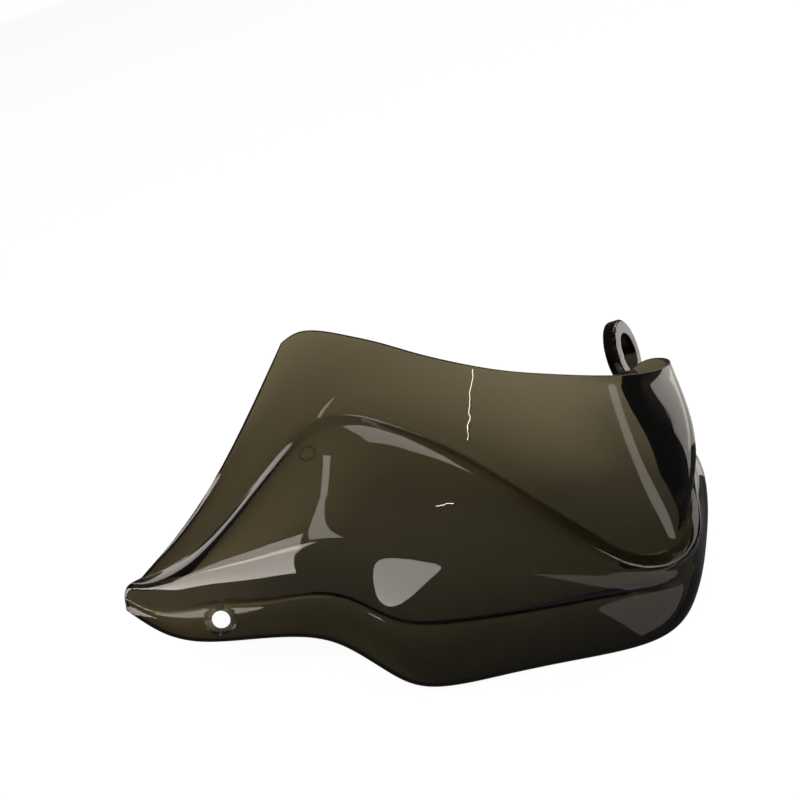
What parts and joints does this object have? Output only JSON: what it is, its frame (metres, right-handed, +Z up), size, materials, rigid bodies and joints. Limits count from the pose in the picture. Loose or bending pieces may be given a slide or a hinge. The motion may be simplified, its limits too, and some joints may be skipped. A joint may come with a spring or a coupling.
{
  "type": "motorcycle hand guard",
  "caption": "One-piece smoked, see-through motorcycle hand guard: bulged shield with an upswept wind wing, stepped rim flange, and an arm that turns back to a bar-end eye.",
  "frame": {"origin": "centre of the bar-end eye, at mid thickness on the axis of its bore", "axes": "+X outboard along the shield, -Y forward in the direction of travel, +Z up"},
  "size_m": [0.2792, 0.1743, 0.1658],
  "materials": {
    "smoked_plastic": "polished, see-through, tinted grey-brown all the way through"
  },
  "bodies": {
    "root": {"guard_shell": "smoked_plastic"}
  },
  "joints": []
}
